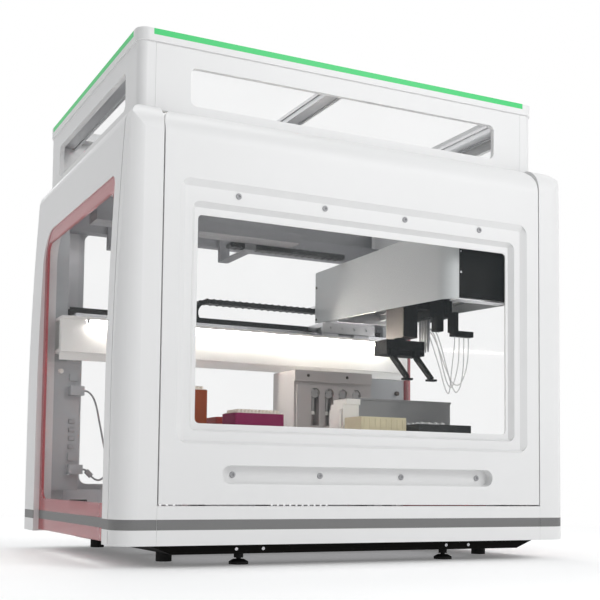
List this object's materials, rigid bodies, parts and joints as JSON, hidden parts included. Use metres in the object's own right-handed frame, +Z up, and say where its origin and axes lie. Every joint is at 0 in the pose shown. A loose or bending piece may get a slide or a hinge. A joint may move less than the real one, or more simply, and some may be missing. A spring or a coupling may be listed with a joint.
{
  "type": "liquid handling robot",
  "caption": "Enclosed benchtop liquid handling workstation with a lifting front door, a gantry arm, pipetting probes, a plate gripper and a deck of labware.",
  "frame": {"origin": "on the bench, below the middle of the cabinet's width and depth", "axes": "+X to the right seen from the front, +Y from the front door to the back, +Z up"},
  "size_m": [1.12, 0.84, 1.12],
  "materials": {
    "shell": "satin white painted moulding",
    "white_metal": "satin white paint",
    "grey_metal": "satin light grey paint",
    "frame_alloy": "painted aluminium profile",
    "arm_paint": "satin grey paint",
    "pump_paint": "satin warm grey paint",
    "band": "satin mid grey paint",
    "black_metal": "satin black paint",
    "bronze": "dark bronze anodised",
    "bare_alloy": "clear anodised",
    "steel": "ground",
    "black_plastic": "matt moulded black",
    "dark_plastic": "matt moulded grey",
    "light_plastic": "satin moulded off-white",
    "beige": "satin moulded beige",
    "orange": "satin moulded orange brown",
    "magenta": "satin moulded magenta",
    "red_tint": "tinted see-through acrylic",
    "clear": "clear polished acrylic",
    "green_light": "lit green diffuser",
    "diffuser": "lit white diffuser",
    "cable": "matt grey jacket",
    "tubing": "clear fluoropolymer tube"
  },
  "bodies": {
    "cabinet": {"base_chassis": "black_metal", "levelling_feet": "black_plastic", "floor_pan": "grey_metal", "front_fascia": "shell", "grey_band": "band", "side_panel_left": "shell", "side_panel_right": "shell", "side_trims": "red_tint", "side_panes": "clear", "rear_panel": "grey_metal", "rear_pane": "clear", "cabinet_frame": "frame_alloy", "header_rails": "frame_alloy", "canopy_frame": "shell", "canopy_panes": "clear", "canopy_lid": "shell", "status_light": "green_light", "roof_rails": "bare_alloy", "gantry_beam": "white_metal", "beam_rails": "steel", "light_strip": "diffuser", "chain_trough": "black_plastic", "deck_plate": "bare_alloy", "pump_housing": "pump_paint", "pump_valves": "steel", "control_box": "grey_metal", "wiring_panel": "grey_metal", "patch_cable": "cable", "cable_ferrite": "light_plastic", "tip_box_orange": "orange", "tip_boxes_low": "magenta", "pipette_tips": "light_plastic", "wash_station": "dark_plastic", "reservoir_white": "light_plastic", "reservoir_beige": "beige", "tube_rack": "black_plastic", "hinge_pins": "steel"},
    "door": {"door_shell": "shell", "door_window": "clear"},
    "arm": {"arm_cover": "arm_paint", "arm_end_plate": "black_metal", "arm_spine": "bare_alloy", "arm_carriage": "bare_alloy"},
    "chain": {"cable_chain": "black_plastic", "upper_chain": "black_plastic"},
    "pod": {"pod_body": "black_metal", "tubing_manifold": "black_metal", "probe_tube_1": "tubing", "probe_tube_2": "tubing", "probe_tube_3": "tubing", "probe_tube_4": "tubing"},
    "mast": {"gripper_mast": "bronze"},
    "head": {"gripper_head": "black_metal"},
    "left_finger": {"finger_left": "bronze"},
    "right_finger": {"finger_right": "bronze"},
    "probe_a": {"probe_1": "steel"},
    "probe_b": {"probe_2": "steel"},
    "probe_c": {"probe_3": "steel"},
    "probe_d": {"probe_4": "steel"},
    "plungers": {"pump_plungers": "light_plastic"}
  },
  "joints": [
    {"name": "door_lift", "type": "hinge", "parent": "cabinet", "child": "door", "pos_m": [0, -0.37, 0.918], "axis": [-1, 0, 0], "range_deg": [0, 95]},
    {"name": "arm_travel", "type": "slide", "parent": "cabinet", "child": "arm", "axis": [1, 0, 0], "range_m": [-0.66, 0]},
    {"name": "chain_travel", "type": "slide", "parent": "cabinet", "child": "chain", "axis": [1, 0, 0], "range_m": [-0.33, 0]},
    {"name": "pod_travel", "type": "slide", "parent": "arm", "child": "pod", "axis": [0, 1, 0], "range_m": [-0.13, 0.13]},
    {"name": "gripper_lift", "type": "slide", "parent": "pod", "child": "mast", "axis": [0, 0, 1], "range_m": [-0.1, 0]},
    {"name": "gripper_turn", "type": "hinge", "parent": "mast", "child": "head", "pos_m": [0.262, -0.13, 0.535], "axis": [0, 0, 1], "range_deg": [-170, 170]},
    {"name": "grip_left", "type": "slide", "parent": "head", "child": "left_finger", "axis": [1, 0, 0], "range_m": [-0.006, 0.022]},
    {"name": "grip_right", "type": "slide", "parent": "head", "child": "right_finger", "axis": [1, 0, 0], "range_m": [-0.022, 0.006]},
    {"name": "probe_a_lift", "type": "slide", "parent": "pod", "child": "probe_a", "axis": [0, 0, 1], "range_m": [-0.12, 0]},
    {"name": "probe_b_lift", "type": "slide", "parent": "pod", "child": "probe_b", "axis": [0, 0, 1], "range_m": [-0.12, 0]},
    {"name": "probe_c_lift", "type": "slide", "parent": "pod", "child": "probe_c", "axis": [0, 0, 1], "range_m": [-0.12, 0]},
    {"name": "probe_d_lift", "type": "slide", "parent": "pod", "child": "probe_d", "axis": [0, 0, 1], "range_m": [-0.12, 0]},
    {"name": "plunger_travel", "type": "slide", "parent": "cabinet", "child": "plungers", "axis": [0, 0, 1], "range_m": [-0.025, 0]}
  ],
  "couplings": [
    {"joint": "chain_travel", "follows": "arm_travel", "ratio": 0.5},
    {"joint": "grip_right", "follows": "grip_left", "ratio": -1}
  ]
}
